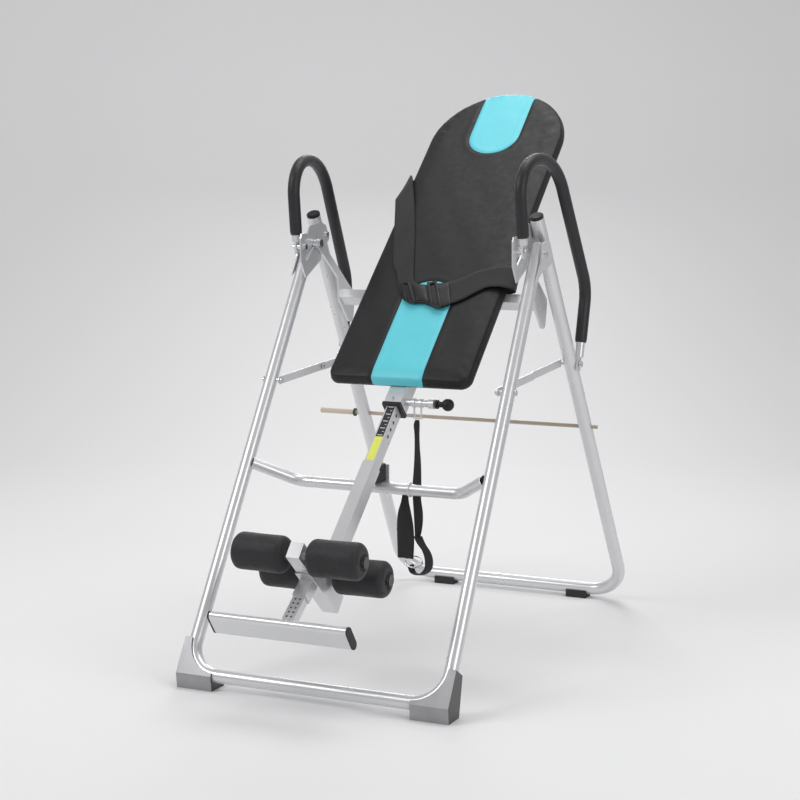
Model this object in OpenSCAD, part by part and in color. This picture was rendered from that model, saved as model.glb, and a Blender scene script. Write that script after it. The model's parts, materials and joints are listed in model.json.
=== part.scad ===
// Folding inversion table. Millimetres, Z up, floor at z = 0, X across, -Y towards the feet.

/* [Frame] */
// Diameter of the front U tube
front_tube_d = 32; // [28:0.5:38]
// Diameter of the rear U tube
rear_tube_d = 34; // [28:0.5:40]
// Wall of the frame tubes
tube_wall = 1.8; // [1.2:0.1:3]
// Front U: half width between leg axes at the base
front_half_w = 320; // [300:1:340]
// Rear U: half width between leg axes at the base
rear_half_w = 332; // [310:1:350]

/* [Bed] */
// Length of the padded bed
pad_len = 1038; // [950:1:1100]
// Half width of the padded bed
pad_hw = 189; // [160:1:200]
// Foam thickness
foam_t = 20; // [12:1:30]
// Board thickness
board_t = 11; // [8:1:16]
// Tilt of the bed above level, degrees
bed_tilt = 43; // [40:0.5:46]

/* [Ankle holder] */
// Foam roller diameter
roller_d = 83; // [70:1:95]
// Foam roller inner end from the centre
roller_in = 29; // [27:1:36]
// Foam roller outer end from the centre
roller_out = 154; // [140:1:170]
// Axle diameter
axle_d = 16; // [12:1:20]

/* [Hidden] */
$fn = 48;
FR = front_tube_d/2;
RR = rear_tube_d/2;
FT = 31.39;   // front frame lean
RT = 30.86;   // rear frame lean
FB = 78;      // front bend radius
RB = 90;      // rear bend radius
BOOM_N = -54; // boom axis below the bed face
FOLD = [-30, 975];
PIV = [-50, 992.5];
BRF = [-218.6, 666.3];
BRM = [5, 679.8];
BRR = [206, 692];
ROD = [308, 521];
GREY = [0.76, 0.77, 0.79];
BLACK = [0.09, 0.09, 0.1];
CYAN = [0.37, 0.83, 0.88];

// ---- helpers ----
module lr() { for (s = [0, 1]) mirror([s, 0, 0]) children(); }
module ringd(ro, ri) { difference() { circle(r=ro); circle(r=ri); } }
module tube(ro, ri, h) { difference() { cylinder(r=ro, h=h); translate([0, 0, -1]) cylinder(r=ri, h=h+2); } }
module xcyl(x0, x1, y, z, r) { translate([x0, y, z]) rotate([0, 90, 0]) cylinder(r=r, h=x1-x0); }
module xplate(x0, x1, pts) { translate([x0, 0, 0]) rotate([90, 0, 90]) linear_extrude(x1-x0) polygon(pts); }
module tf() { translate([0, -173, 678]) rotate([bed_tilt, 0, 0]) children(); }
module ff() { translate([0, -605, 33]) rotate([-FT, 0, 0]) children(); }
module rf() { translate([0, 604, 26]) rotate([RT, 0, 0]) children(); }
module ak() { tf() translate([0, -575, 0]) rotate([5.5, 0, 0]) children(); }
module st() { tf() translate([0, -600, 6]) rotate([-7, 0, 0]) children(); }
module boxc(x, y0, y1, z0, z1) { translate([-x/2, y0, z0]) cube([x, y1-y0, z1-z0]); }

// bent tubes: Z is the way ahead, and a bend of radius R turns it by A degrees towards Y;
// neighbouring lengths stop 0.1 mm short of their joint, and a ring inside the wall joins them
module htube(ro, ri, l) { rotate([0, 0, -90]) tube(ro, ri, l); }
module hjoin(ro, ri) {
  translate([0, 0, -1.5]) htube(ro-(ro-ri)*0.25, ri+(ro-ri)*0.25, 3);
}
module harc(R, A, ro, ri) {
  e = 5.73/R;
  translate([0, R, 0]) rotate([90, 0, 90]) rotate([0, 0, 180-A+e])
    rotate_extrude(angle=A-2*e, $fn=48) translate([R, 0]) ringd(ro, ri);
}
module hturn(R, A) { translate([0, R, 0]) rotate([-A, 0, 0]) translate([0, -R, 0]) children(); }
// U tube in its own plane: base along X at z = 0, legs up to z = len
module u_tube(hw, conv, len, bend, ro, ri) {
  a = atan(conv/len);
  cx = hw - bend*tan(a) - bend/cos(a);
  translate([0.1-cx, 0, 0]) rotate([0, 90, 0]) rotate([0, 0, 90]) htube(ro, ri, 2*cx-0.2);
  lr() translate([cx, 0, 0]) rotate([0, 90, 0]) rotate([0, 0, 90]) {
    hjoin(ro, ri);
    harc(bend, 90+a, ro, ri);
    hturn(bend, 90+a) {
      hjoin(ro, ri);
      translate([0, 0, 0.1]) htube(ro, ri, (len-bend-bend*sin(a))/cos(a)-0.1);
    }
  }
}
module front_solid() ff() {
  a = 0.759;
  cx = front_half_w - FB*tan(a) - FB/cos(a);
  translate([-cx, 0, 0]) rotate([0, 90, 0]) cylinder(r=FR, h=2*cx);
  translate([cx, 0, FB]) rotate([90, 0, 0]) rotate([0, 0, -90])
    rotate_extrude(angle=90+a, $fn=64) translate([FB, 0]) circle(r=FR);
  translate([cx+FB*cos(a), 0, FB+FB*sin(a)]) rotate([0, -a, 0]) cylinder(r=FR, h=200);
}
module front_leg_solid(r) {
  lr() ff() translate([front_half_w, 0, 0]) rotate([0, -0.759, 0]) cylinder(r=r, h=1140);
}
module rear_leg_solid(r) {
  lr() rf() translate([rear_half_w, 0, 0]) rotate([0, -1.616, 0]) cylinder(r=r, h=1205);
}

// ---- rear frame ----
module rear_u_tube() color(GREY) difference() {
  rf() u_tube(rear_half_w, 34, 1204.6, RB, RR, RR-tube_wall);
  lr() xcyl(260, 360, ROD[0], ROD[1], 5.5);
  lr() xcyl(260, 360, BRR[0], BRR[1], 4);
  lr() xcyl(270, 300, 15, 1012, 4);
}
module rear_leg_caps() color(BLACK) lr() rf() translate([rear_half_w-34, 0, 1204.6])
  rotate([0, -1.616, 0]) { cylinder(r=RR, h=5); translate([0, 0, 5]) cylinder(r=RR-3, h=2); }
module rear_floor_pads() color(BLACK) lr() difference() {
  translate([170, 584, 0]) cube([58, 40, 20]);
  xcyl(160, 240, 604, 26, RR);
}
HOOK = [[-120, 949], [-95, 909], [-14, 950], [-14, 976], [14, 986], [32, 1002], [14, 1034],
  [-16, 1046], [-49, 1038], [-71, 1037], [-78, 1022], [-88, 1015], [-94, 1018], [-116, 1017],
  [-121, 1006]];
module hook_plates() color(GREY) lr() difference() {
  xplate(277, 281, HOOK);
  xcyl(270, 290, PIV[0], PIV[1], 6.06);
  translate([270, PIV[0], PIV[1]]) rotate([39.5, 0, 0])
    translate([0, -60, -6]) cube([20, 60, 12]);
  xcyl(270, 290, FOLD[0], FOLD[1], 4.06);
  xcyl(270, 290, HB[0], HB[1], 3);
  xcyl(270, 290, 15, 1012, 4);
}
GUS = [[-42, 937], [-14, 940], [20, 953], [25, 966], [4, 1002], [-12, 1010], [-45, 1000],
  [-56, 960], [-88, 909]];
// outer plate of the fold pivot, with a flange welded along the front of the rear leg
module gusset_plates() color(GREY) lr() difference() {
  union() {
    xplate(322.8, 326.1, GUS);
    rf() translate([301, -21.5, 1096]) cube([25, 8, 40]);
  }
  xcyl(315, 335, FOLD[0], FOLD[1], 4.06);
  rear_leg_solid(RR+0.1);
}
// washers that carry the hook plates off the rear legs
module hook_spacers() color(GREY) lr() difference() {
  xcyl(281, 286.5, 15, 1012, 9);
  xcyl(280, 290, 15, 1012, 4);
  rear_leg_solid(RR+0.1);
}
module hplane() { translate([299, -103, 0]) rotate([0, 0, -5.8]) children(); }
module hstart() { translate([0, 0, 1000]) rotate([8, 0, 0]) children(); }
// handle lengths: up from the hook plate, down the back, and the lower end
HL0 = 108.7;
HL1 = 245.1;
HL2 = 133.6;
module hpath(ro, ri, l0, l1) hstart() {
  translate([0, 0, HL0-l0]) htube(ro, ri, l0-0.1);
  translate([0, 0, HL0]) {
    hjoin(ro, ri);
    harc(75, 78, ro, ri);
    hturn(75, 78) {
      hjoin(ro, ri);
      harc(145, 80, ro, ri);
      hturn(145, 80) {
        hjoin(ro, ri);
        translate([0, 0, 0.1]) htube(ro, ri, HL1-0.2);
        translate([0, 0, HL1]) {
          hjoin(ro, ri);
          harc(100, 42, ro, ri);
          hturn(100, 42) {
            hjoin(ro, ri);
            translate([0, 0, 0.1]) htube(ro, ri, l1-0.1);
            children();
          }
        }
      }
    }
  }
}
HB = [-101, 985]; // front handle bolt
module handle_tubes() color(GREY) lr() difference() {
  hplane() {
    hpath(11, 9.4, HL0, HL2) {
      translate([0, 0, HL2-1]) cylinder(r=10.2, h=3);
      translate([-2.5, -9.5, HL2+1]) cube([5, 19, 35]);
    }
    // closed and flattened ends
    hstart() { translate([0, 0, -2]) cylinder(r=10.2, h=3);
      translate([-2.5, -9.5, -32]) cube([5, 19, 31]); }
  }
  xcyl(290, 310, HB[0], HB[1], 3);
  xcyl(315, 345, BRR[0], BRR[1], 4);
  rear_leg_solid(RR+0.1);
}
module handle_grips() color(BLACK) lr() hplane() hpath(15, 11, HL0-15, HL2-35);
module handle_bolts() color(BLACK) lr() {
  xcyl(272, 277, HB[0], HB[1], 6.5);
  xcyl(277, 304, HB[0], HB[1], 3);
  difference() { xcyl(281, 295.6, HB[0], HB[1], 8); xcyl(280, 300, HB[0], HB[1], 3); }
  xcyl(302.6, 308, HB[0], HB[1], 6.5);
  xcyl(276.4, 279.1, BRR[0], BRR[1], 7);
  xcyl(279.1, 338, BRR[0], BRR[1], 4);
  xcyl(334, 340, BRR[0], BRR[1], 7.5);
  xcyl(272.5, 277, 15, 1012, 7);
  xcyl(277, 292, 15, 1012, 4);
}

// ---- front frame ----
module front_u_tube() color(GREY) difference() {
  ff() u_tube(front_half_w, 15, 1128, FB, FR, FR-tube_wall);
  lr() xcyl(270, 340, FOLD[0], FOLD[1], 4);
  lr() xcyl(270, 340, BRF[0], BRF[1], 4);
}
module front_crossbar() color(GREY) difference() {
  cb = 45.8;
  intersection() {
  translate([-300, -400, 300]) cube([600, 300, 300]);
  translate([0, -260, 430]) rotate([146.67, 0, 0]) {
    translate([-190.9, 0, 0]) rotate([0, 90, 0]) htube(13.5, 11.9, 381.8);
    lr() translate([191, 0, 0]) rotate([0, 90, 0]) {
      hjoin(13.5, 11.9);
      harc(50, cb, 13.5, 11.9);
      hturn(50, cb) {
        hjoin(13.5, 11.9);
        translate([0, 0, 0.1]) htube(13.5, 11.9, 104);
      }
    }
  }
  }
  front_leg_solid(FR);
}
// corner shoe: a leaning wedge under the bend, with a flat sole
SHOE = [[-622, 0], [-626, 36], [-581.5, 110], [-547.3, 89.2], [-566, 0]];
module front_feet() color([0.42, 0.43, 0.45]) lr() difference() {
  xplate(247, 338, SHOE);
  ff() translate([241, 80, 78]) rotate([90, 0, 0]) cylinder(r=78, h=160);
  front_solid();
}
BUMP = [[-246.4, 445], [-246.4, 486], [-271.8, 484.2], [-305.3, 452.9], [-300, 445]];
module boom_bumper() color(BLACK) difference() {
  xplate(-12, 12, BUMP);
  xcyl(-20, 20, -260, 430, 13.5);
}
module bumper_bracket() color(GREY) difference() {
  translate([-20, -246.4, 424]) cube([40, 4, 60]);
  xcyl(-30, 30, -260, 430, 13.5);
}
module fold_bolts() color([0.6, 0.6, 0.62]) lr() {
  xcyl(272, 276.5, FOLD[0], FOLD[1], 7.5);
  xcyl(276.5, 326.5, FOLD[0], FOLD[1], 4);
  xcyl(326.5, 331, FOLD[0], FOLD[1], 7.5);
}
module strap_ring() color(GREY) translate([82, -260, 430]) rotate([0, 90, 0])
  rotate_extrude($fn=48) translate([15.6, 0]) circle(r=2, $fn=20);
// webbing from the hook down behind the crossbar, ending in a hanging loop
module tether_strap() color(BLACK) {
  translate([88, -239, 436]) rotate([-27.87, 0, 0]) rotate([0, -11.43, 0])
    translate([-12, -1.5, 0]) cube([24, 3, 158]);
  translate([0, -237.5, 0]) rotate([90, 0, 0]) linear_extrude(3) difference() {
    polygon([[44, 236], [56, 226], [96, 226], [104, 240], [101, 446], [77, 446], [77, 424],
      [68, 420], [42, 420]]);
    polygon([[66, 262], [78, 262], [77, 408], [66, 408]]);
  }
}

// ---- bed, which turns on the pivot pins ----
module bed_shape(d) {
  difference() {
    union() {
      translate([0, pad_len-pad_hw]) circle(r=pad_hw-d, $fn=128);
      translate([-pad_hw+d, 28]) square([2*pad_hw-2*d, pad_len-pad_hw-28]);
      translate([-pad_hw+28, d]) square([2*pad_hw-56, 40]);
      for (s = [-1, 1]) translate([s*(pad_hw-28), 28]) circle(r=28-d);
    }
  }
}
module stripe() { translate([-68, -1]) square([136, 257]); translate([0, 256]) circle(r=68, $fn=64); }
module headp() { translate([-71, 861]) square([142, 180]); translate([0, 861]) circle(r=71, $fn=64); }
module bed_foam() color(BLACK) tf() difference() {
  union() {
    translate([0, 0, -foam_t]) linear_extrude(foam_t-5) bed_shape(0);
    translate([0, 0, -5]) linear_extrude(3) bed_shape(2);
    translate([0, 0, -2]) linear_extrude(2) bed_shape(6);
  }
  translate([0, 0, -1.2]) linear_extrude(3) { stripe(); headp(); }
}
module bed_board() color([0.12, 0.12, 0.12]) tf() difference() {
  translate([0, 0, -foam_t-board_t]) linear_extrude(board_t) bed_shape(3);
  for (v = [80, 240, 420, 600]) for (s = [-1, 1])
    translate([s*13, v, -foam_t-board_t-1]) cylinder(r=2.2, h=9, $fn=24);
}
module seat_stripe_panel() color(CYAN) tf() translate([0, 0, -1.2]) linear_extrude(1.2)
  intersection() { stripe(); bed_shape(6); }
module head_panel() color(CYAN) tf() translate([0, 0, -1.2]) linear_extrude(1.2)
  intersection() { headp(); bed_shape(6); }
module cross_tube() color(GREY) tf() difference() {
  translate([-262, 288, -59]) cube([524, 28, 28]);
  translate([-263, 290, -57]) cube([526, 24, 24]);
}
module bed_sleeve() color(GREY) tf() difference() {
  boxc(43, -46, 288, -77, -31);
  boxc(39, -47, 286, -75, -33);
  translate([15, -28, -52]) rotate([0, 90, 0]) cylinder(r=5, h=12);
  translate([0, -34, -35]) cylinder(r=2, h=8, $fn=24);
  for (v = [80, 240]) for (s = [-1, 1]) translate([s*13, v, -34]) cylinder(r=2.2, h=9, $fn=24);
}
module spine_bracket() color(GREY) tf() difference() {
  union() { boxc(43, 316, 700, -34, -31); boxc(4, 316, 690, -56, -34); }
  for (v = [420, 600]) for (s = [-1, 1]) translate([s*13, v, -35]) cylinder(r=2.2, h=9, $fn=24);
}
module bed_screws() color([0.5, 0.5, 0.52]) tf() {
  for (v = [80, 240]) for (s = [-1, 1]) translate([s*13, v, 0]) {
    translate([0, 0, -33]) cylinder(r=2.2, h=9, $fn=24);
    translate([0, 0, -35]) cylinder(r=4, h=2, $fn=24);
  }
  for (v = [420, 600]) for (s = [-1, 1]) translate([s*13, v, 0]) {
    translate([0, 0, -34]) cylinder(r=2.2, h=10, $fn=24);
    translate([0, 0, -36]) cylinder(r=4, h=2, $fn=24);
  }
  translate([0, -34, 0]) { translate([0, 0, -33]) cylinder(r=2, h=2, $fn=24);
    translate([0, 0, -31]) cylinder(r=4, h=2, $fn=24); }
}
ARM = [[-55.5, 983.5], [52, 901], [58, 842], [66, 836], [112, 786], [126, 784], [134, 792],
  [146, 846], [142, 858], [-43.5, 1001]];
module pivot_arms() color(GREY) lr() difference() {
  union() { xplate(262, 268, ARM); xcyl(262, 268, PIV[0], PIV[1], 12); }
  xcyl(250, 280, PIV[0], PIV[1], 6);
}
module pivot_pins() color([0.8, 0.8, 0.82]) lr() {
  xcyl(262, 286, PIV[0], PIV[1], 6);
  xcyl(257, 262, PIV[0], PIV[1], 10);
  difference() { xcyl(268, 276.4, PIV[0], PIV[1], 9.5); xcyl(260, 280, PIV[0], PIV[1], 6); }
  xcyl(281.6, 285, PIV[0], PIV[1], 9);
}
module sleeve_guide() color(BLACK) tf() difference() {
  union() { boxc(47, -55, -46, -79, -29); boxc(39, -46, 60, -75, -33); }
  boxc(27, -60, 70, -72.5, -35.5);
  translate([10, -28, -52]) rotate([0, 90, 0]) cylinder(r=5, h=12);
  translate([0, -34, -35]) cylinder(r=2, h=8, $fn=24);
}
module selector_housing() color(GREY) tf() translate([0, -28, -52]) rotate([0, 90, 0]) {
  difference() {
    union() { translate([0, 0, 21.5]) cylinder(r=8.5, h=63.5);
      translate([0, 0, 85]) cylinder(r=12, h=14); }
    translate([0, 0, 20]) cylinder(r=4.4, h=90);
  }
}
// bent wire hook under the selector housing
module strap_hook() color(GREY) tf() {
  for (x = [42, 60]) translate([x, -28, -52]) rotate([0, 90, 0]) difference() {
    cylinder(r=11, h=8);
    translate([0, 0, -1]) cylinder(r=8.5, h=10);
  }
  translate([0, -28, -52]) rotate([137, 0, 0]) {
    for (x = [46, 64]) translate([x, 0, 9.5]) cylinder(r=2, h=26.5, $fn=24);
    xcyl(43.8, 66.2, 0, 36, 2.2, $fn=24);
  }
}
BELT = [[-189, 600], [-176, 600], [-149, 465], [-121, 365], [-90, 306], [-90, 266], [-110, 268],
  [-150, 330], [-189, 420]];
BELT2 = [[45, 256], [120, 300], [189, 310], [189, 376], [138, 365], [70, 330], [12, 306], [12, 250]];
module lap_belt() color(BLACK) tf() {
  linear_extrude(2.5) { polygon(BELT); polygon(BELT2); }
  translate([-191.5, 420, -31]) cube([2.5, 180, 33.5]);
  translate([189, 310, -31]) cube([2.5, 66, 33.5]);
}
module belt_buckle() color([0.05, 0.05, 0.05]) tf() difference() {
  linear_extrude(13) polygon([[-90, 306], [-90, 262], [-60, 246], [-20, 244], [12, 240],
    [45, 216], [45, 262], [12, 290], [-20, 296], [-60, 300]]);
  translate([-91, 255, -1]) cube([16, 60, 4.5]);
  translate([12, 230, -1]) cube([40, 80, 4.5]);
}

// ---- boom, which slides in the sleeve ----
module boom_tube() color(GREY) tf() difference() {
  boxc(26, -300, 110, -72, -36);
  boxc(22.4, -301, 111, -70.2, -37.8);
  boxc(20, -218, -57, -36.5, -35);
  for (i = [-5:3]) translate([8, -28+21.3*i, -52]) rotate([0, 90, 0]) cylinder(r=4.6, h=8);
}
module height_scale() color([0.04, 0.04, 0.04]) tf() boxc(20, -148, -57, -36.5, -36);
module scale_label() color([0.86, 0.88, 0.25]) tf() boxc(20, -218, -148, -36.5, -36);
module boom_lower_tube() color(GREY) tf() difference() {
  boxc(30, -560, -228, -74, -34);
  boxc(26, -580, -227, -72, -36);
  ak_box();
  translate([-30, -536, -47]) rotate([0, 90, 0]) cylinder(d=axle_d, h=60);
}
module ak_box() { translate([0, -575, 0]) rotate([5.5, 0, 0]) boxc(38, -40, 22, -128, 60); }
module boom_rim() color([0.3, 0.31, 0.33]) tf() difference() {
  boxc(30, -228, -222, -74, -34);
  boxc(26, -229, -221, -72, -36);
}
module ankle_sleeve() color(GREY) ak() difference() {
  union() {
    boxc(38, -22, 22, -128, 46);
    translate([0, 21, 27]) rotate([-90, 0, 0]) cylinder(r=9, h=17);
  }
  boxc(33.6, -19.8, 19.8, -129, 47);
  translate([0, 15, 27]) rotate([-90, 0, 0]) cylinder(r=4.5, h=30);
}
module rear_axle() color(GREY) tf() {
  difference() { translate([-159, -536, -47]) rotate([0, 90, 0]) cylinder(d=axle_d, h=318); }
}
module axle_caps() {
  lr() rotate([0, 90, 0]) translate([0, 0, 159]) cylinder(r=13, h=3);
}
module rear_axle_caps() color([0.35, 0.35, 0.37]) tf() translate([0, -536, -47]) axle_caps();
module foot_bar_socket() color(GREY) st() difference() {
  boxc(33, -46, 4, -13.5, 13.5);
  boxc(28.8, -47, 9, -11.4, 11.4);
  tf_inv_box();
}
module tf_inv_box() { rotate([7, 0, 0]) translate([0, 600, -6]) translate([0, -575, 0])
  rotate([5.5, 0, 0]) boxc(60, -22, 30, -128, 60); }

// ---- front roller carrier ----
module slider_arm() color(GREY) ak() difference() {
  boxc(32, -19, 19, -70, 112);
  boxc(28, -17, 17, -71, 110);
  translate([-30, 0, 86]) rotate([0, 90, 0]) cylinder(d=axle_d, h=60);
}
module front_axle() color(GREY) ak() translate([-159, 0, 86]) rotate([0, 90, 0])
  cylinder(d=axle_d, h=318);
module front_axle_caps() color([0.35, 0.35, 0.37]) ak() translate([0, 0, 86]) axle_caps();

// ---- foot bar ----
module foot_bar_stem() color(GREY) st() difference() {
  boxc(28, -136, -4, -10.6, 10.6);
  boxc(24.4, -137, -3, -8.8, 8.8);
  for (i = [0:5]) for (s = [-1, 1]) translate([s*5.5, -54-12.5*i, 5]) cylinder(r=2.6, h=8, $fn=24);
}
module foot_bar() color(GREY) st() translate([0, -146, 14]) {
  difference() {
    rotate([90, 0, 90]) translate([0, 0, -165]) linear_extrude(330) flat2d(10, 31);
    rotate([90, 0, 90]) translate([0, 0, -166]) linear_extrude(332) flat2d(8.4, 29.4);
  }
}
module flat2d(r, h) {
  for (s = [-1, 1]) translate([0, s*(h-r)]) circle(r=r, $fn=48);
  translate([-r, -(h-r)]) square([2*r, 2*(h-r)]);
}
module foot_bar_caps() color(BLACK) st() translate([0, -146, 14]) lr() {
  rotate([90, 0, 90]) translate([0, 0, 165]) linear_extrude(4) flat2d(10.4, 31.4);
  rotate([90, 0, 90]) translate([0, 0, 153]) linear_extrude(12) flat2d(8.4, 29.4);
}

// ---- rollers ----
module roller() {
  R = roller_d/2;
  rotate([0, 90, 0]) rotate_extrude($fn=72) difference() {
    union() {
      translate([0, roller_in+14]) square([R, roller_out-roller_in-28]);
      translate([0, roller_in]) square([R-14, roller_out-roller_in]);
      translate([R-14, roller_in+14]) circle(r=14, $fn=48);
      translate([R-14, roller_out-14]) circle(r=14, $fn=48);
    }
    translate([-1, roller_in-1]) square([axle_d/2+1.06, roller_out-roller_in+2]);
    translate([-60, 0]) square([60, 200]);
    translate([0, roller_out-3]) square([18, 5]);
  }
}
module front_right_roller() color(BLACK) ak() translate([0, 0, 86]) roller();
module front_left_roller() color(BLACK) ak() translate([0, 0, 86]) mirror([1, 0, 0]) roller();
module rear_right_roller() color(BLACK) tf() translate([0, -536, -47]) roller();
module rear_left_roller() color(BLACK) tf() translate([0, -536, -47]) mirror([1, 0, 0]) roller();

// ---- pins, knobs, rod, braces ----
module selector_pin() color([0.8, 0.8, 0.82]) tf() translate([13.4, -28, -52]) rotate([0, 90, 0])
  cylinder(r=4, h=106);
module selector_ball() color(BLACK) tf() translate([0, -28, -52]) difference() {
  union() {
    translate([133, 0, 0]) sphere(r=15);
    translate([103, 0, 0]) rotate([0, 90, 0]) cylinder(r=7, h=20);
    translate([103, 0, 0]) rotate([0, 90, 0]) cylinder(r=11, h=5);
  }
  translate([100, 0, 0]) rotate([0, 90, 0]) cylinder(r=4, h=19.4);
}
module ankle_pull_pin() color(BLACK) ak() translate([0, 0, 27]) rotate([-90, 0, 0]) {
  translate([0, 0, 19.6]) cylinder(r=4, h=30);
  translate([0, 0, 40]) cylinder(r=9, h=12);
  translate([0, 0, 50]) cylinder(r=14, h=15);
  translate([0, 0, 65]) cylinder(r=11, h=3);
}
module limiter_rod() color([0.72, 0.68, 0.6]) xcyl(-446, 348, ROD[0], ROD[1], 5);
module limiter_sleeve() color([0.85, 0.78, 0.66]) difference() {
  xcyl(-446, -347, ROD[0], ROD[1], 7);
  xcyl(-450, -340, ROD[0], ROD[1], 5);
}
module limiter_clip() color([0.15, 0.15, 0.15]) difference() {
  xcyl(-345, -341, ROD[0], ROD[1], 11);
  xcyl(-350, -340, ROD[0], ROD[1], 5);
}
module link2(x0, x1, p, q) {
  a = atan2(q[1]-p[1], q[0]-p[0]);
  l = sqrt((q[0]-p[0])*(q[0]-p[0]) + (q[1]-p[1])*(q[1]-p[1]));
  difference() {
    union() {
      translate([x0, p[0], p[1]]) rotate([a, 0, 0]) translate([0, 0, -9.5]) cube([x1-x0, l, 19]);
      xcyl(x0, x1, p[0], p[1], 10);
      xcyl(x0, x1, q[0], q[1], 10);
    }
    xcyl(x0-1, x1+1, p[0], p[1], 4.06);
    xcyl(x0-1, x1+1, q[0], q[1], 4.06);
  }
}
module brace_front_links() color(GREY) lr() {
  link2(283.2, 286, BRF, BRM);
  // rivet of the middle joint, which ends short of the rear link
  xcyl(282.8, 286.05, BRM[0], BRM[1], 4);
  xcyl(286.05, 286.9, BRM[0], BRM[1], 7);
}
module brace_rear_links() color(GREY) lr() link2(279.6, 282.4, BRR, BRM);
// rivets that hold the front links to the front legs
module brace_rivets() color([0.6, 0.6, 0.62]) lr() {
  xcyl(279, 330, BRF[0], BRF[1], 4);
  xcyl(279, 282.6, BRF[0], BRF[1], 7);
  xcyl(326.6, 330, BRF[0], BRF[1], 7);
}

rear_u_tube();
rear_leg_caps();
rear_floor_pads();
hook_plates();
gusset_plates();
hook_spacers();
handle_tubes();
handle_grips();
handle_bolts();
front_u_tube();
front_crossbar();
front_feet();
boom_bumper();
bumper_bracket();
fold_bolts();
strap_ring();
tether_strap();
bed_foam();
bed_board();
seat_stripe_panel();
head_panel();
bed_screws();
cross_tube();
bed_sleeve();
spine_bracket();
pivot_arms();
pivot_pins();
sleeve_guide();
selector_housing();
strap_hook();
lap_belt();
belt_buckle();
boom_tube();
height_scale();
scale_label();
boom_lower_tube();
boom_rim();
ankle_sleeve();
rear_axle();
rear_axle_caps();
foot_bar_socket();
slider_arm();
front_axle();
front_axle_caps();
foot_bar_stem();
foot_bar();
foot_bar_caps();
front_left_roller();
front_right_roller();
rear_left_roller();
rear_right_roller();
selector_pin();
selector_ball();
ankle_pull_pin();
limiter_rod();
limiter_sleeve();
limiter_clip();
brace_front_links();
brace_rear_links();
brace_rivets();
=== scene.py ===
import bpy, bmesh, json, math
import numpy as np
from mathutils import Matrix, Vector
from mathutils.bvhtree import BVHTree


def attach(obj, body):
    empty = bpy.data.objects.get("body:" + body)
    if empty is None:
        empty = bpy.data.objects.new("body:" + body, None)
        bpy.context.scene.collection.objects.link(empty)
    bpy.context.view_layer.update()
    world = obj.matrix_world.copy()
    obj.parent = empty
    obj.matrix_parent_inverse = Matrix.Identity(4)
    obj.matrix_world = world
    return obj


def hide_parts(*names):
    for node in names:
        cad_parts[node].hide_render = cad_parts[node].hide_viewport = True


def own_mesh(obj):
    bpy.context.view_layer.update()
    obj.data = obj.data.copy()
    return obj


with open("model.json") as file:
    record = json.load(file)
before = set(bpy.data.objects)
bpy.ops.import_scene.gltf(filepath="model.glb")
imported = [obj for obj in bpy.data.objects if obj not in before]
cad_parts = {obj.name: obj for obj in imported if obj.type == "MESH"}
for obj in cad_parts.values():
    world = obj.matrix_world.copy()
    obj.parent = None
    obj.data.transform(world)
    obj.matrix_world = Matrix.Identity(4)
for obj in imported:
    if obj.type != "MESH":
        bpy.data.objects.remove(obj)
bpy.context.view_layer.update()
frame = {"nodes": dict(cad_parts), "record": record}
COL = bpy.context.scene.collection
MM = 0.001
VIEW_TURN = 24.94               # degrees the camera stands round from the front
BED_TILT = math.radians(43)     # the bed's slope at rest

# ---------------------------------------------------------------- camera and studio
cam = bpy.data.objects.new("camera", bpy.data.cameras.new("camera"))
COL.objects.link(cam)
cam.location = (1.784, -3.977, 1.159)
cam.rotation_euler = (math.radians(90 - 7.21), 0, math.radians(VIEW_TURN))
cam.data.lens, cam.data.sensor_width = 79.8, 36
bpy.context.scene.camera = cam
bpy.context.scene.view_settings.view_transform = "Standard"

world = bpy.data.worlds.new("world")
bpy.context.scene.world = world
world.use_nodes = True
bg = world.node_tree.nodes["Background"]
bg.inputs["Color"].default_value = (0.86, 0.86, 0.87, 1)
bg.inputs["Strength"].default_value = 0.42


def area(name, loc, target, size, size_y, power):
    d = bpy.data.lights.new(name, "AREA")
    d.shape, d.size, d.size_y, d.energy = "RECTANGLE", size, size_y, power
    o = bpy.data.objects.new(name, d)
    COL.objects.link(o)
    o.location = loc
    o.rotation_euler = (Vector(target) - Vector(loc)).to_track_quat("-Z", "Y").to_euler()


area("key_light", (-2.6, -3.0, 3.4), (0, 0, 0.7), 2.2, 1.6, 66)
area("fill_light", (3.4, -1.6, 2.0), (0, 0, 0.7), 1.6, 2.2, 33)
area("top_light", (0.2, 0.6, 3.6), (0, 0, 0.6), 2.6, 2.0, 44)
area("back_light", (-1.5, 3.2, 2.4), (0, 0, 0.8), 1.4, 1.4, 26)


def make(name, verts, faces, smooth=True, uvs=None):
    m = bpy.data.meshes.new(name)
    m.from_pydata([tuple(map(float, v)) for v in verts], [], [tuple(int(i) for i in f) for f in faces])
    m.update()
    if uvs is not None:
        lay = m.uv_layers.new(name="cloth")
        idx = np.empty(len(m.loops), int)
        m.loops.foreach_get("vertex_index", idx)
        lay.data.foreach_set("uv", np.asarray(uvs, float)[idx].ravel())
    if smooth:
        m.polygons.foreach_set("use_smooth", [True] * len(m.polygons))
    o = bpy.data.objects.new(name, m)
    COL.objects.link(o)
    return o


def outward(o):
    """Turn the faces of a closed mesh outward."""
    bm = bmesh.new()
    bm.from_mesh(o.data)
    bmesh.ops.recalc_face_normals(bm, faces=bm.faces)
    bm.to_mesh(o.data)
    bm.free()


def tube_faces(rings, seg, base=0, closed=False):
    """Quads between rings of seg points; closed joins the last ring to the first."""
    return [(base + i * seg + j, base + (i + 1) % rings * seg + j,
             base + (i + 1) % rings * seg + (j + 1) % seg, base + i * seg + (j + 1) % seg)
            for i in range(rings if closed else rings - 1) for j in range(seg)]


def inward(quads):
    return [(a, d, c, b) for a, b, c, d in quads]


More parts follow.
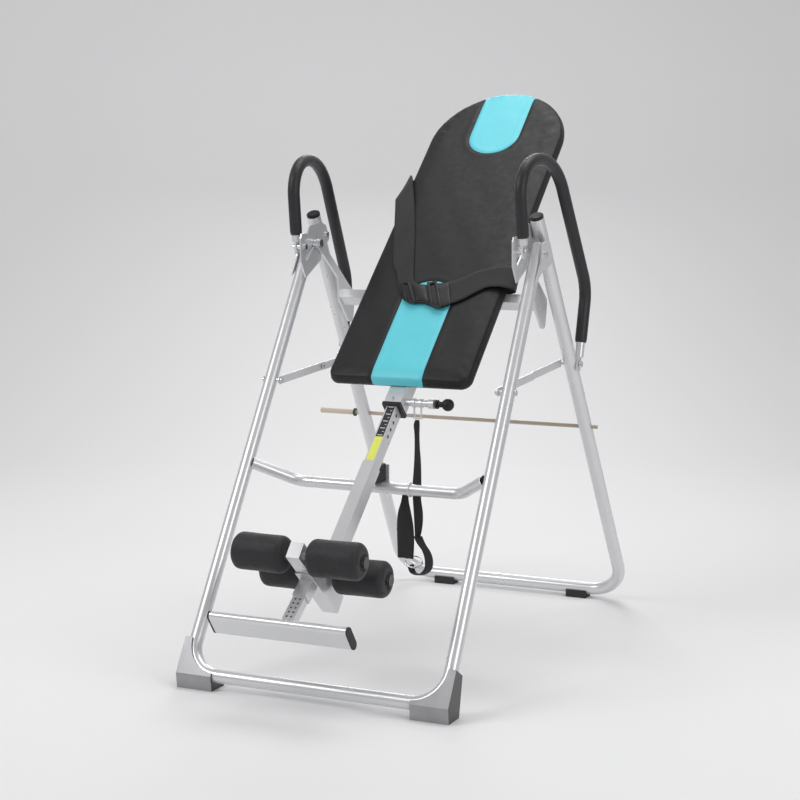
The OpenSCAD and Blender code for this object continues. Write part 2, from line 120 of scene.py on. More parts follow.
# ---------------------------------------------------------------- materials
def mat(name, base, rough, metal=0.0, coat=0.0, sheen=0.0):
    m = bpy.data.materials.new(name)
    m.use_nodes = True
    t = m.node_tree
    p = t.nodes["Principled BSDF"]
    p.inputs["Base Color"].default_value = (*base, 1)
    p.inputs["Roughness"].default_value = rough
    p.inputs["Metallic"].default_value = metal
    p.inputs["Coat Weight"].default_value = coat
    p.inputs["Coat Roughness"].default_value = 0.12
    p.inputs["Sheen Weight"].default_value = sheen
    p.inputs["Sheen Roughness"].default_value = 0.4
    return m, t, p


def node(t, kind, **ins):
    n = t.nodes.new(kind)
    for k, v in ins.items():
        k = k.replace("_", " ")
        if k in n.inputs:
            n.inputs[k].default_value = v
        else:
            setattr(n, k.replace(" ", "_"), v)
    return n


def objco(t):
    for n in t.nodes:
        if n.bl_idname == "ShaderNodeTexCoord":
            return n.outputs["Object"]
    return t.nodes.new("ShaderNodeTexCoord").outputs["Object"]


def noise(t, scale, detail=3, rough=0.5):
    n = node(t, "ShaderNodeTexNoise", Scale=scale, Detail=detail, Roughness=rough)
    t.links.new(objco(t), n.inputs["Vector"])
    return n.outputs["Fac"]


def cells(t, scale, feature="F1"):
    n = node(t, "ShaderNodeTexVoronoi", Scale=scale)
    n.feature = feature
    t.links.new(objco(t), n.inputs["Vector"])
    return n.outputs["Distance"]


def math_(t, op, a, b=None, c=None):
    n = t.nodes.new("ShaderNodeMath")
    n.operation = op
    for i, v in enumerate((a, b, c)):
        if v is None:
            continue
        if isinstance(v, (int, float)):
            n.inputs[i].default_value = v
        else:
            t.links.new(v, n.inputs[i])
    return n.outputs[0]


def span(t, fac, lo, hi, a=0.0, b=1.0):
    n = node(t, "ShaderNodeMapRange", From_Min=lo, From_Max=hi, To_Min=a, To_Max=b)
    t.links.new(fac, n.inputs["Value"])
    return n.outputs["Result"]


def tint(t, p, fac, a, b):
    n = t.nodes.new("ShaderNodeMix")
    n.data_type = "RGBA"
    n.inputs["A"].default_value = (*a, 1)
    n.inputs["B"].default_value = (*b, 1)
    t.links.new(fac, n.inputs["Factor"])
    t.links.new(n.outputs["Result"], p.inputs["Base Color"])
    return n


def along_axis(t, vector, axis):
    n = t.nodes.new("ShaderNodeVectorMath")
    n.operation = "DOT_PRODUCT"
    t.links.new(vector, n.inputs[0])
    n.inputs[1].default_value = axis
    return n.outputs["Value"]


def bump(t, p, height, dist, strength=1.0, after=None):
    n = node(t, "ShaderNodeBump", Strength=strength, Distance=dist)
    t.links.new(height, n.inputs["Height"])
    if after is not None:
        t.links.new(after.outputs["Normal"], n.inputs["Normal"])
    t.links.new(n.outputs["Normal"], p.inputs["Normal"])
    return n


def silver():
    m, t, p = mat("silver_paint", (0.7, 0.7, 0.72), 0.34, 0.5, 0.3)
    tint(t, p, noise(t, 9, 4), (0.70, 0.705, 0.72), (0.76, 0.76, 0.775))
    t.links.new(span(t, noise(t, 24, 3), 0.3, 0.7, 0.27, 0.34), p.inputs["Roughness"])
    bump(t, p, cells(t, 2600), 0.00002, 0.25)
    return m


def zinc():
    m, t, p = mat("bright_zinc", (0.8, 0.8, 0.82), 0.2, 1.0)
    tint(t, p, noise(t, 120, 4), (0.62, 0.62, 0.64), (0.86, 0.86, 0.87))
    t.links.new(span(t, noise(t, 300, 5), 0.3, 0.7, 0.14, 0.32), p.inputs["Roughness"])
    bump(t, p, noise(t, 900, 2), 0.00003, 0.4)
    return m


def plastic(name, a, b, rough, grain=0.00006, scale=1700, coat=0.0):
    m, t, p = mat(name, a, rough, 0.0, coat)
    p.inputs["Specular IOR Level"].default_value = 0.35
    tint(t, p, noise(t, 26, 4), a, b)
    t.links.new(span(t, noise(t, 70, 3), 0.3, 0.7, rough - 0.07, rough + 0.09), p.inputs["Roughness"])
    g = bump(t, p, cells(t, scale), grain, 0.6)
    bump(t, p, noise(t, 90, 3), 0.0002, 0.25, g)
    return m


def foam(name, rough, grain):
    m, t, p = mat(name, (0.02, 0.02, 0.022), rough, 0.0, 0.0, 0.1)
    p.inputs["Specular IOR Level"].default_value = 0.4
    tint(t, p, noise(t, 30, 5), (0.014, 0.014, 0.0155), (0.03, 0.03, 0.033))
    t.links.new(span(t, noise(t, 120, 4), 0.3, 0.7, rough - 0.1, rough + 0.1), p.inputs["Roughness"])
    g = bump(t, p, cells(t, 1100), grain, 0.55)
    bump(t, p, noise(t, 210, 4, 0.65), 0.0005, 0.35, g)
    return m


def vinyl(name, a, b, rough, coat, spec=0.5):
    m, t, p = mat(name, a, rough, 0.0, coat, 0.04)
    p.inputs["Specular IOR Level"].default_value = spec
    tint(t, p, noise(t, 11, 4), a, b)
    t.links.new(span(t, noise(t, 60, 4), 0.3, 0.7, rough - 0.07, rough + 0.08), p.inputs["Roughness"])
    g = bump(t, p, cells(t, 620, "DISTANCE_TO_EDGE"), 0.00022, 0.45)
    h = bump(t, p, noise(t, 1500, 2), 0.00006, 0.35, g)
    bump(t, p, noise(t, 16, 3), 0.0025, 0.3, h)
    return m


def webbing(name):
    # ribs across the strap and a fine twill along it, from the ribbon's own UV in metres
    m, t, p = mat(name, (0.02, 0.02, 0.022), 0.66, 0.0, 0.0, 0.12)
    uv = t.nodes.new("ShaderNodeUVMap")
    uv.uv_map = "cloth"
    sep = t.nodes.new("ShaderNodeSeparateXYZ")
    t.links.new(uv.outputs["UV"], sep.inputs[0])
    along = math_(t, "SINE", math_(t, "MULTIPLY", sep.outputs["Y"], 2 * math.pi / 0.0022))
    diagonal = math_(t, "ADD", sep.outputs["X"], sep.outputs["Y"])
    twill = math_(t, "SINE", math_(t, "MULTIPLY", diagonal, 2 * math.pi / 0.0016))
    height = math_(t, "ADD", math_(t, "MULTIPLY", along, 0.6), math_(t, "MULTIPLY", twill, 0.4))
    # painted shade: the weave's grooves are painted darker than its ridges, over a random tone
    groove_shade_and_tone = math_(t, "ADD", height, math_(t, "MULTIPLY", noise(t, 160, 4), 2))
    tint(t, p, span(t, groove_shade_and_tone, -1, 3), (0.004, 0.004, 0.005), (0.022, 0.022, 0.024))
    bump(t, p, height, 0.00028, 0.8)
    return m


def rubber():
    m, t, p = mat("black_rubber", (0.02, 0.02, 0.02), 0.75)
    tint(t, p, noise(t, 60, 4), (0.014, 0.014, 0.014), (0.04, 0.04, 0.041))
    t.links.new(span(t, noise(t, 140, 4), 0.3, 0.7, 0.62, 0.88), p.inputs["Roughness"])
    bump(t, p, noise(t, 1200, 3), 0.0002, 0.5)
    return m


def shoe():
    # a satin moulding, near black round its sides; its broad face is painted light grey as a painted reflection
    m, t, p = mat("shoe_plastic", (0.3, 0.3, 0.31), 0.34, 0.25, 0.3)
    normal = t.nodes.new("ShaderNodeTexCoord").outputs["Normal"]
    # painted reflection: the face turned forward is painted lighter than the sides
    painted_reflection_face = span(t, along_axis(t, normal, (0, -0.96, 0.28)), 0.80, 0.93)
    mix = tint(t, p, painted_reflection_face, (0.035, 0.035, 0.038), (0.36, 0.36, 0.375))
    # painted reflection: a blotchy light-to-dark gradient across the broad face
    painted_reflection_blotches = t.nodes.new("ShaderNodeMix")
    painted_reflection_blotches.data_type = "RGBA"
    painted_reflection_blotches.inputs["A"].default_value = (0.22, 0.22, 0.235, 1)
    painted_reflection_blotches.inputs["B"].default_value = (0.46, 0.46, 0.475, 1)
    t.links.new(noise(t, 14, 3), painted_reflection_blotches.inputs["Factor"])
    t.links.new(painted_reflection_blotches.outputs["Result"], mix.inputs["B"])
    bump(t, p, cells(t, 1500), 0.00006, 0.5)
    return m


def scale_strip():
    # generic graduations: a pale tick at each adjustment step, and a short one half way
    m, t, p = mat("scale_plastic", (0.03, 0.03, 0.03), 0.4, 0.0, 0.2)
    sep = t.nodes.new("ShaderNodeSeparateXYZ")
    t.links.new(objco(t), sep.inputs[0])
    bed_axis, step = (0, math.cos(BED_TILT), math.sin(BED_TILT)), 0.0213
    s = math_(t, "FRACT", math_(t, "MULTIPLY", along_axis(t, objco(t), bed_axis), 1 / step))

    def near(value, centre, reach):
        return math_(t, "LESS_THAN", math_(t, "ABSOLUTE", math_(t, "SUBTRACT", value, centre)), reach)

    long_tick = math_(t, "MULTIPLY", math_(t, "LESS_THAN", s, 0.1), near(sep.outputs["X"], 0.0, 0.0065))
    short_tick = math_(t, "MULTIPLY", near(s, 0.55, 0.035), near(sep.outputs["X"], 0.004, 0.0025))
    tint(t, p, math_(t, "MAXIMUM", long_tick, short_tick), (0.022, 0.022, 0.024), (0.72, 0.72, 0.70))
    bump(t, p, cells(t, 1400), 0.00005, 0.4)
    return m


def board():
    m, t, p = mat("black_board", (0.03, 0.03, 0.03), 0.5)
    mp = t.nodes.new("ShaderNodeMapping")
    mp.inputs["Scale"].default_value = (180, 9, 9)
    t.links.new(objco(t), mp.inputs["Vector"])
    n = node(t, "ShaderNodeTexNoise", Scale=1.0, Detail=6.0, Roughness=0.6)
    t.links.new(mp.outputs["Vector"], n.inputs["Vector"])
    tint(t, p, n.outputs["Fac"], (0.018, 0.016, 0.015), (0.06, 0.055, 0.05))
    bump(t, p, n.outputs["Fac"], 0.0003, 0.4)
    return m


def floor_mat():
    m, t, p = mat("studio_paper", (0.72, 0.72, 0.725), 0.85)
    tint(t, p, noise(t, 1.5, 3), (0.87, 0.87, 0.875), (0.885, 0.885, 0.89))
    bump(t, p, noise(t, 400, 3), 0.0002, 0.2)
    return m


M = {
    "silver_frame": silver(), "bright_metal": zinc(),
    "black_hardware": plastic("black_hardware", (0.02, 0.02, 0.021), (0.05, 0.05, 0.052), 0.34, coat=0.3),
    "black_plastic": plastic("black_plastic", (0.009, 0.009, 0.010), (0.02, 0.02, 0.021), 0.42),
    "grey_plastic": shoe(), "black_rubber": rubber(),
    "grip_foam": foam("grip_foam", 0.42, 0.00016), "roller_foam": foam("roller_foam", 0.58, 0.0003),
    "pad_vinyl": vinyl("pad_vinyl", (0.011, 0.011, 0.012), (0.018, 0.018, 0.0195), 0.46, 0.0, 0.3),
    "cyan_vinyl": vinyl("cyan_vinyl", (0.10, 0.60, 0.70), (0.145, 0.69, 0.79), 0.4, 0.05),
    "board_wood": board(), "webbing": webbing("webbing"),
    "label_yellow": plastic("label_yellow", (0.76, 0.80, 0.10), (0.86, 0.88, 0.2), 0.3, 0.00003),
    "rod_tan": plastic("rod_tan", (0.44, 0.37, 0.28), (0.56, 0.49, 0.39), 0.4, 0.00005),
    "sleeve_beige": plastic("sleeve_beige", (0.60, 0.52, 0.40), (0.70, 0.62, 0.50), 0.5),
    "scale": scale_strip(), "thread": plastic("thread", (0.03, 0.03, 0.032), (0.09, 0.09, 0.095), 0.6),
}
for sp in frame["record"]["subparts"]:
    o = frame["nodes"][sp["node"]]
    want = M["scale" if sp["node"] == "height_scale" else sp["material_slot"]]
    if not o.material_slots:
        o.data.materials.append(want)
    for sl in o.material_slots:
        sl.material = want


def round_edges(o, width):
    b = o.modifiers.new("edge", "BEVEL")
    b.width, b.segments, b.limit_method, b.angle_limit = width * MM, 2, "ANGLE", math.radians(40)


# a moulded or pressed part gets a small edge radius, in mm
for name, width in (("front_feet", 2.2), ("boom_bumper", 1.2), ("rear_floor_pads", 1.5), ("boom_tube", 1.2),
                    ("boom_lower_tube", 1.4), ("bed_sleeve", 1.6), ("cross_tube", 1.6), ("slider_arm", 1.4),
                    ("ankle_sleeve", 1.4), ("foot_bar_socket", 1.2), ("foot_bar_stem", 1.4), ("hook_plates", 0.5),
                    ("gusset_plates", 0.5), ("pivot_arms", 0.8), ("sleeve_guide", 0.8), ("foot_bar_caps", 0.8),
                    ("bed_board", 1.0), ("brace_front_links", 0.4), ("brace_rear_links", 0.4),
                    ("rear_leg_caps", 0.8)):
    round_edges(frame["nodes"][name], width)


def dress(o, slot, body):
    o.data.materials.clear()
    o.data.materials.append(M[slot])
    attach(o, body)


# ---------------------------------------------------------------- bed frame
# x across the bed, v up it from the pad's front edge and n out of the pad, in mm
BED = Matrix.Translation((0, -0.173, 0.678)) @ Matrix.Rotation(BED_TILT, 4, "X")
HW, LEN = 189.0, 1038.0         # half width and length of the pad
CORNER = 28                     # radius of its two front corners
ROUND_V = LEN - HW              # centre of its round top end
SEAT_R, SEAT_V = 68, 256        # cyan seat panel: half width, and the centre of its round end
HEAD_R, HEAD_V = 71, 861        # cyan head panel, likewise
EDGE_R, EDGE_N = 14, -15.5      # the pad's edge roll: its inset and height
COLS = 41                       # points across a panel


def outline(d):
    pts = []
    for cx, cv, r, start, end, n in ((0, ROUND_V, HW, 0, 180, 72), (CORNER - HW, CORNER, CORNER, 180, 270, 12),
                                     (HW - CORNER, CORNER, CORNER, 270, 360, 12)):
        for a in np.radians(np.linspace(start, end, n)):
            pts.append((cx + (r - d) * math.cos(a), cv + (r - d) * math.sin(a)))
    return pts


def panel_sd(x, v):
    """Signed distance in mm to the nearer cyan panel, negative inside."""
    x = np.abs(x)
    seat = np.where(v < SEAT_V, x, np.hypot(x, np.maximum(v - SEAT_V, 0))) - SEAT_R
    head = np.where(v > HEAD_V, x, np.hypot(x, np.minimum(v - HEAD_V, 0))) - HEAD_R
    return np.minimum(seat, head)


def arr(o):
    a = np.empty(len(o.data.vertices) * 3)
    o.data.vertices.foreach_get("co", a)
    return a.reshape(-1, 3)


def put(o, a):
    o.data.vertices.foreach_set("co", np.asarray(a, float).ravel())
    o.data.update()


def freeze(o):
    """The modifiers' result becomes the mesh."""
    dg = bpy.context.evaluated_depsgraph_get()
    dg.update()
    new = bpy.data.meshes.new_from_object(o.evaluated_get(dg), preserve_all_data_layers=True, depsgraph=dg)
    o.modifiers.clear()
    o.data = new
    new.polygons.foreach_set("use_smooth", [True] * len(new.polygons))
    return o


def make_pad():
    rings = [(4, -31.6), (2, -30.2), (1.4, -26), (1.2, -12), (2.6, -6), (6, -3.3), (11, -2.4)]
    pts = [[(x * MM, v * MM, n * MM) for x, v in outline(d)] for d, n in rings]
    k = len(pts[0])
    verts = [p for r in pts for p in r]
    faces = inward(tube_faces(len(rings), k))
    faces += [tuple(reversed(range(k))), tuple((len(rings) - 1) * k + j for j in range(k))]
    o = make("bed_pad", verts, faces)
    r = o.modifiers.new("remesh", "REMESH")
    r.mode, r.voxel_size = "VOXEL", 0.005
    freeze(o)
    start = arr(o)
    pin = o.vertex_groups.new(name="pin")
    pin.add([int(i) for i in np.nonzero(start[:, 2] < -0.020)[0]], 1.0, "REPLACE")
    c = o.modifiers.new("cloth", "CLOTH")
    c.settings.use_pressure, c.settings.uniform_pressure_force = True, 4
    c.settings.effector_weights.gravity = 0
    c.settings.vertex_group_mass = "pin"
    c.settings.quality = 4
    c.point_cache.frame_start, c.point_cache.frame_end = 1, 20
    for f in range(1, 21):
        bpy.context.scene.frame_set(f)
    freeze(o)
    bpy.context.scene.frame_set(1)
    now = arr(o)
    step = now - start
    size = np.linalg.norm(step, axis=1, keepdims=True)
    most = 0.0028
    put(o, start + step * np.minimum(1, most / np.maximum(size, 1e-9)))
    s = o.modifiers.new("smooth", "SMOOTH")
    s.factor, s.iterations = 0.5, 3
    sub = o.modifiers.new("sub", "SUBSURF")
    sub.levels = sub.render_levels = 1
    freeze(o)
    co = arr(o)
    # slow unevenness of the foam, and a valley along the sewn seams
    top = np.clip((co[:, 2] + 0.012) / 0.008, 0, 1)
    x, v = co[:, 0] / MM, co[:, 1] / MM
    wave = 0.45 * np.sin(x / 41 + 1.3 * np.sin(v / 97)) * np.sin(v / 63 + 0.7) + 0.25 * np.sin(x / 17 + v / 29)
    sd = panel_sd(x, v)
    groove = -1.5 * np.exp(-(sd / 3.6) ** 2) + 0.5 * np.exp(-((np.abs(sd) - 10) / 7) ** 2)
    crown = 1.2 * (1 - (x / HW) ** 2)
    co[:, 2] += top * (wave + groove + crown - 0.6) * MM
    front = np.clip((0.012 - co[:, 1]) / 0.008, 0, 1) * np.clip((-0.002 - co[:, 2]) / 0.004, 0, 1)
    co[:, 1] -= front * groove * MM
    # the cover wraps the board's edge and is stapled under it; further in, the board is bare
    inset = np.where(v > ROUND_V, HW - np.hypot(x, v - ROUND_V), np.minimum(HW - np.abs(x), v))
    bare = np.clip((inset - 20) / 5, 0, 1) * (co[:, 2] < -0.029)
    co[:, 2] += bare * 0.0036
    put(o, co)
    return o


pad = make_pad()
tree = BVHTree.FromObject(pad, bpy.context.evaluated_depsgraph_get())


def cast(origin, toward):
    o, d = Vector(origin) * MM, Vector(toward)
    hit, nor, _, _ = tree.ray_cast(o, d.normalized())
    if hit is None:
        hit, nor, _, _ = tree.find_nearest(o)
    if nor.dot(d) > 0:
        nor = -nor
    return np.array(hit) / MM, np.array(nor)


def grid_faces(rows, cols, base=0):
    return [(base + i * cols + j, base + i * cols + j + 1, base + (i + 1) * cols + j + 1, base + (i + 1) * cols + j)
            for i in range(rows - 1) for j in range(cols - 1)]


def wrap_ray(x, s):
    """A ray onto the pad at s: straight down on its top, and for s under EDGE_R round its front edge."""
    if s >= EDGE_R:
        return (x, s, 60), (0, 0, -1)
    f = math.radians(min((EDGE_R - s) * 3.2, 150))
    return (x, EDGE_R - 60 * math.sin(f), EDGE_N + 60 * math.cos(f)), (0, math.sin(f), -math.cos(f))


def cap_rows(centre, r, sign):
    return [centre + sign * r * math.sin(a) for a in np.linspace(0, math.pi / 2, 26)]


def panel_row(half, over, ray):
    """One row across a panel laid on the pad; over is how far the row is into the panel's round end."""
    w = half if over <= 0 else math.sqrt(max(half * half - over * over, 0.04))
    row = []
    for j in range(COLS):
        x = w * math.sin(math.pi / 2 * (2 * j / (COLS - 1) - 1))
        p, n = cast(*ray(x))
        inside = half - (math.hypot(x, over) if over > 0 else abs(x))
        # the edge sinks into the seam, the rest lies just proud of the vinyl
        lift = -0.5 + 1.15 * (1 - math.exp(-max(inside, 0) / 1.6))
        row.append((p + n * lift) * MM)
    return row


def panel(name, rows):
    verts = [p for r in rows for p in r]
    return make(name, verts, grid_faces(len(rows), COLS), uvs=[(p[0], p[1]) for p in verts])


seat_s = list(np.arange(-32.5, EDGE_R, 1.0)) + list(np.arange(EDGE_R, 254, 5.0)) + cap_rows(SEAT_V, SEAT_R, 1)
seat = panel("seat_stripe", [panel_row(SEAT_R, s - SEAT_V, lambda x: wrap_ray(x, s)) for s in seat_s])


def top_v(x):
    """v where the pad's top end starts to roll over."""
    return ROUND_V + math.sqrt(max((HW - EDGE_R) ** 2 - x * x, 0))


def over_top(x, a):
    """A ray turned by angle a round the pad's top edge."""
    v = top_v(x)
    ux, uv = x / (HW - EDGE_R), (v - LEN + HW) / (HW - EDGE_R)
    d = (-ux * math.sin(a), -uv * math.sin(a), -math.cos(a))
    return (x - d[0] * 60, v - d[1] * 60, EDGE_N - d[2] * 60), d


def down_at(x, s):
    # beyond the round end the rows fan out to follow the pad's top edge
    v = s if s <= HEAD_V else HEAD_V + (s - HEAD_V) / 139.0 * (top_v(x) - HEAD_V)
    return (x, v, 60), (0, 0, -1)


head_s = list(reversed(cap_rows(HEAD_V, HEAD_R, -1))) + list(np.linspace(866, 1.0e3, 28))
head_rows = [panel_row(HEAD_R, HEAD_V - s, lambda x: down_at(x, s)) for s in head_s]
head_rows += [panel_row(HEAD_R, 0, lambda x: over_top(x, a)) for a in np.radians(np.linspace(5, 150, 32))]
head = panel("head_stripe", head_rows)


def stitches():
    """Short raised stitches in the black vinyl along both panels' seams."""
    r, pitch = SEAT_R + 3.5, 4.4
    seat_line = [(-r, v) for v in np.arange(-6, SEAT_V, pitch)]
    seat_line += [(-r * math.cos(a), SEAT_V + r * math.sin(a)) for a in np.linspace(0, math.pi, 52)]
    seat_line += [(r, v) for v in np.arange(SEAT_V, -6, -pitch)]
    r = HEAD_R + 3.5
    head_line = [(-r, v) for v in np.arange(1006, HEAD_V, -pitch)]
    head_line += [(r * math.cos(a), HEAD_V + r * math.sin(a)) for a in np.linspace(math.pi, 2 * math.pi, 54)]
    head_line += [(r, v) for v in np.arange(HEAD_V, 1006, pitch)]
    verts, faces = [], []
    for line in (seat_line, head_line):
        for (xa, va), (xb, vb) in zip(line[:-1], line[1:]):
            e = []
            for k in (0.14, 0.5, 0.86):
                x, v = xa + (xb - xa) * k, va + (vb - va) * k
                e.append(cast(*wrap_ray(x, v)))
            t = e[2][0] - e[0][0]
            t /= max(np.linalg.norm(t), 1e-6)
            base = len(verts)
            for (p, n), rise, rad in zip(e, (-0.1, 0.25, -0.1), (0.22, 0.42, 0.22)):
                s = np.cross(t, n)
                for a in np.linspace(0, 2 * math.pi, 6, endpoint=False):
                    verts.append((p + n * (rise + rad * math.sin(a)) + s * rad * math.cos(a)) * MM)
            faces += inward(tube_faces(3, 6, base))
            faces.append(tuple(base + j for j in reversed(range(6))))
            faces.append(tuple(base + 12 + j for j in range(6)))
    return make("pad_stitching", verts, faces)


stitch = stitches()


# ---------------------------------------------------------------- webbing
def spline(pts, n):
    """n points along a Catmull-Rom curve through pts."""
    p = np.asarray(pts, float)
    seg = np.r_[0, np.cumsum(np.linalg.norm(np.diff(p, axis=0), axis=1))]
    seg /= seg[-1]
    q = np.vstack([2 * p[0] - p[1], p, 2 * p[-1] - p[-2]])
    out = []
    for s in np.linspace(0, 1, n):
        i = min(int(np.searchsorted(seg, s, side="right")) - 1, len(p) - 2)
        u = (s - seg[i]) / (seg[i + 1] - seg[i])
        a, b, c, d = q[i], q[i + 1], q[i + 2], q[i + 3]
        out.append(0.5 * (2 * b + (c - a) * u + (2 * a - 5 * b + 4 * c - d) * u * u
                          + (3 * b - a - 3 * c + d) * u ** 3))
    return np.array(out)


def ribbon(name, edge_a, edge_b, n=120, across=9, thick=1.8, wave=0.8, crown=0.0):
    """Webbing between two edge lines in mm, with two faces and a rounded selvedge.

    Returns the piece, and the width and length of its cut in metres."""
    a, b = spline(edge_a, n), spline(edge_b, n)
    mid = (a + b) / 2
    run = np.r_[0, np.cumsum(np.linalg.norm(np.diff(mid, axis=0), axis=1))]
    ts = np.linspace(0, 1, across)
    P = a[:, None, :] * (1 - ts)[None, :, None] + b[:, None, :] * ts[None, :, None]
    along = np.gradient(P, axis=0)
    side = (b - a)[:, None, :] / np.linalg.norm(b - a, axis=1)[:, None, None]
    N = np.cross(side * np.ones_like(P), along)
    N /= np.linalg.norm(N, axis=2, keepdims=True)
    T, R = np.meshgrid(ts, run)
    bulge = wave * np.sin(R / 23 + 2.1 * T) * np.sin(math.pi * T) + crown * np.sin(math.pi * T)
    P = P + N * bulge[:, :, None]
    # the cut's width is the laid strap's area over its length
    d0, d1 = np.diff(P, axis=0)[:, :-1], np.diff(P, axis=1)[:-1]
    width = np.linalg.norm(np.cross(d0, d1), axis=2).sum() / run[-1]
    h = thick / 2 * np.sqrt(np.clip(1 - (2 * np.abs(ts - 0.5)) ** 8, 0.12, 1))
    up, dn = P + N * h[None, :, None], P - N * h[None, :, None]
    verts = np.vstack([up.reshape(-1, 3), dn.reshape(-1, 3)]) * MM
    k = n * across
    faces = grid_faces(n, across) + [tuple(reversed(f)) for f in grid_faces(n, across, k)]
    for i in range(n - 1):
        faces.append((i * across, (i + 1) * across, k + (i + 1) * across, k + i * across))
        j = across - 1
        faces.append(((i + 1) * across + j, i * across + j, k + i * across + j, k + (i + 1) * across + j))
    for j in range(across - 1):
        faces.append((j + 1, j, k + j, k + j + 1))
        i = (n - 1) * across
        faces.append((i + j, i + j + 1, k + i + j + 1, k + i + j))
    uv = np.stack([T.ravel() * width * MM, R.ravel() * MM], 1)
    o = make(name, verts, faces, uvs=np.vstack([uv, uv]))
    outward(o)
    return o, width * MM, run[-1] * MM


def to_world(*objs):
    for o in objs:
        o.data.transform(BED)
        o.data.update()


belt_l, wl, ll = ribbon(
    "lap_belt_left",
    [(-150, 640, -34.6), (-182, 641, -34.6), (-198, 642, -24), (-206, 636, -8), (-205, 612, 2), (-196, 585, 5.5),
     (-163, 480, 6), (-129, 376, 6), (-107, 338, 6), (-92, 306, 6.5), (-74, 276, 6.5), (-56, 258, 7)],
    [(-150, 706, -34.6), (-180, 708, -34.6), (-195, 712, -22), (-196, 710, -3), (-184, 696, 4), (-168, 655, 5.5),
     (-143, 591, 5.5), (-105, 481, 5.5), (-74, 380, 5.5), (-60, 336, 6), (-50, 316, 6.5), (-38, 304, 7)],
    crown=1.0)
belt_r, wr, lr = ribbon(
    "lap_belt_right",
    [(40, 232, 7), (66, 240, 7), (98, 260, 6), (125, 284, 5.5), (150, 302, 6), (182, 304, 7), (204, 302, 4),
     (216, 306, -6), (212, 314, -24), (190, 319, -34.6), (150, 321, -34.8)],
    [(20, 308, 7), (50, 318, 7), (82, 338, 6.5), (112, 359, 6), (148, 371, 6), (180, 375, 7), (198, 377, 4),
     (208, 379, -8), (206, 381, -24), (190, 381, -34.6), (150, 381, -34.8)],
    crown=1.2)


def buckle():
    """A side-release buckle: a solid base with two pairs of webbing bars, bent over the lap."""
    low = [(-66, 254, 7), (-43, 240, 8), (-22, 237, 9), (-2, 239, 9.5), (25, 229, 9.5), (50, 224, 9), (68, 234, 8.5),
           (87, 250, 7)]
    top = [(-89, 311, 7), (-78, 305, 8), (-61, 304, 8.5), (-37, 304, 9), (-7, 302, 9), (10, 308, 9), (35, 312, 8),
           (62, 318, 7)]
    n = 60
    at_station = np.arange(n) / (n - 1) * (len(low) - 1)
    lo, up = (np.stack([np.interp(at_station, range(len(side)), c) for c in zip(*side)], 1) for side in (low, top))
    verts, faces = [], []

    def at(s, t):
        """The point s of the way along and t of the way up the buckle."""
        i = s * (n - 1)
        k = min(int(i), n - 2)
        u = i - k
        a, b = lo[k] * (1 - u) + lo[k + 1] * u, up[k] * (1 - u) + up[k + 1] * u
        return a * (1 - t) + b * t

    def block(s0, s1, t0, t1, n0, n1, ns=5, nt=5):
        base = len(verts)
        for lev in (n0, n1):
            for i in range(ns):
                for j in range(nt):
                    s, t = s0 + (s1 - s0) * i / (ns - 1), t0 + (t1 - t0) * j / (nt - 1)
                    p = at(s, t)
                    hump = 1.2 * math.sin(math.pi * t) * math.sin(math.pi * i / (ns - 1)) if lev == n1 else 0
                    verts.append((p + np.array((0, 0, lev + hump))) * MM)
        k = ns * nt
        top, bot = grid_faces(ns, nt, base + k), grid_faces(ns, nt, base)
        faces.extend(top)
        faces.extend(tuple(reversed(f)) for f in bot)
        for i in range(ns - 1):
            a, b = base + i * nt, base + (i + 1) * nt
            faces.append((a, b, b + k, a + k))
            a, b = a + nt - 1, b + nt - 1
            faces.append((b, a, a + k, b + k))
        for j in range(nt - 1):
            a = base + j
            faces.append((a + 1, a, a + k, a + 1 + k))
            a = base + (ns - 1) * nt + j
            faces.append((a, a + 1, a + 1 + k, a + k))

    block(0.04, 0.9, 0.03, 0.97, -2.5, 2.2, 30, 7)
    # each loop is two bars across and two rails along, with the release body between the loops
    for bar in ((0.10, 0.145, -0.02, 1.02, 1.8, 5.6), (0.255, 0.30, -0.02, 1.02, 1.8, 6.2),
                (0.10, 0.30, -0.02, 0.05, 1.8, 4.8), (0.10, 0.30, 0.95, 1.02, 1.8, 4.8),
                (0.33, 0.53, 0.10, 0.90, 2.0, 4.4),
                (0.56, 0.605, -0.04, 1.04, 1.8, 6.4), (0.70, 0.745, -0.04, 1.04, 1.8, 5.8),
                (0.56, 0.745, -0.04, 0.04, 1.8, 5.0), (0.56, 0.745, 0.96, 1.04, 1.8, 5.0)):
        block(*bar)
    o = make("lap_belt_buckle", verts, faces, smooth=False)
    outward(o)
    round_edges(o, 0.7)
    return freeze(o)


buck = buckle()
to_world(pad, seat, head, stitch, belt_l, belt_r, buck)
for o, slot in ((pad, "pad_vinyl"), (seat, "cyan_vinyl"), (head, "cyan_vinyl"), (stitch, "thread"),
                (belt_l, "webbing"), (belt_r, "webbing"), (buck, "black_plastic")):
    dress(o, slot, "bed")
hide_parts("bed_foam")
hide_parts("seat_stripe_panel")
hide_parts("head_panel")
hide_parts("lap_belt")
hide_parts("belt_buckle")

